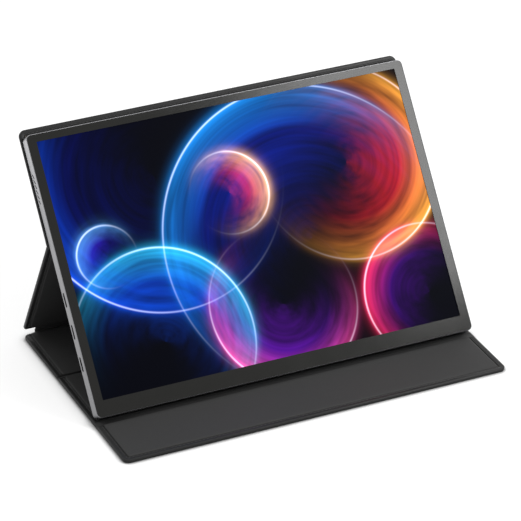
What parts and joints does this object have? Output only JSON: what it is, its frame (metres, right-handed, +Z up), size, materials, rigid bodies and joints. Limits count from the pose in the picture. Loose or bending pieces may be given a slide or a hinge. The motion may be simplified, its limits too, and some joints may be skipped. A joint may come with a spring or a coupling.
{
  "type": "portable monitor with folding cover",
  "caption": "Slim portable monitor leaning in its folding leather cover: magnetic back panel, strut, creased base and front flap form the stand.",
  "frame": {"origin": "middle of the footprint on the table, under the stand", "axes": "+X along the screen to the viewer's right, +Y away from the viewer, +Z up from the table"},
  "size_m": [0.3574, 0.2344, 0.2072],
  "materials": {
    "housing_aluminium": "bead-blasted and anodised, satin",
    "bezel_plastic": "moulded, fine satin texture",
    "black_tape": "foam adhesive tape",
    "screen_glass": "polariser with an anti-glare coat",
    "clear_film": "calendered film",
    "acrylic": "cast, polished edge",
    "white_film": "foamed film",
    "led_resin": "phosphor resin",
    "sheet_steel": "rolled",
    "screw_steel": "zinc plated",
    "socket_steel": "drawn, nickel plated",
    "circuit_board": "solder mask over glass fibre",
    "polyimide_ribbon": "laminated film",
    "speaker_plastic": "moulded",
    "cover_leather": "coated split leather, fine pebble grain, stitched edge",
    "fold_leather": "coated leather, flexed",
    "cover_lining": "smooth coated lining",
    "fibreboard": "pressed",
    "magnet_nickel": "nickel plated"
  },
  "bodies": {
    "base": {"base_leather": "cover_leather", "base_rear_board": "fibreboard", "base_front_board": "fibreboard", "base_rear_lining": "cover_lining", "base_front_lining": "cover_lining", "foot_magnets": "magnet_nickel", "spine_fold": "fold_leather", "flap_fold": "fold_leather"},
    "strut": {"strut_leather": "cover_leather", "strut_board": "fibreboard", "strut_lining": "cover_lining", "back_fold": "fold_leather"},
    "monitor": {"rear_housing": "housing_aluminium", "front_bezel": "bezel_plastic", "bezel_tape": "black_tape", "lcd_panel": "screen_glass", "optical_films": "clear_film", "light_guide": "acrylic", "reflector_film": "white_film", "led_strip": "led_resin", "display_tray": "sheet_steel", "tray_tape": "black_tape", "main_board": "circuit_board", "timing_board": "circuit_board", "display_cable": "polyimide_ribbon", "board_screws": "screw_steel", "video_socket": "socket_steel", "data_socket_upper": "socket_steel", "data_socket_lower": "socket_steel", "speaker_left": "speaker_plastic", "speaker_right": "speaker_plastic", "key_board": "circuit_board", "keeper_plates": "sheet_steel", "back_leather": "cover_leather", "back_board": "fibreboard", "back_lining": "cover_lining", "back_magnets": "magnet_nickel"},
    "flap": {"flap_leather": "cover_leather", "flap_board": "fibreboard", "flap_lining": "cover_lining", "flap_magnets": "magnet_nickel"},
    "power_key": {"power_button": "housing_aluminium"},
    "menu_key": {"menu_rocker": "housing_aluminium"}
  },
  "joints": [
    {"name": "stand_fold", "type": "hinge", "parent": "base", "child": "strut", "pos_m": [0, 0.11556, 0.0016], "axis": [-1, 0, 0], "range_deg": [0, 119.8]},
    {"name": "back_fold", "type": "hinge", "parent": "strut", "child": "monitor", "pos_m": [0, 0.04566, 0.12336], "axis": [-1, 0, 0], "range_deg": [-66.71, 0]},
    {"name": "flap_fold", "type": "hinge", "parent": "base", "child": "flap", "pos_m": [0, -0.05366, 0.0016], "axis": [-1, 0, 0], "range_deg": [0, 57]},
    {"name": "power_press", "type": "slide", "parent": "monitor", "child": "power_key", "axis": [-1, 0, 0], "range_m": [0, 0.0005], "stiffness_N_per_m": 600, "springref_m": -0.0005},
    {"name": "menu_rock", "type": "hinge", "parent": "monitor", "child": "menu_key", "pos_m": [0.17495, -0.00098, 0.07334], "axis": [0, 0.8, -0.6], "range_deg": [-2.5, 2.5], "stiffness_Nm_per_rad": 0.02}
  ],
  "couplings": [
    {"joint": "back_fold", "follows": "stand_fold", "ratio": -0.55674}
  ]
}
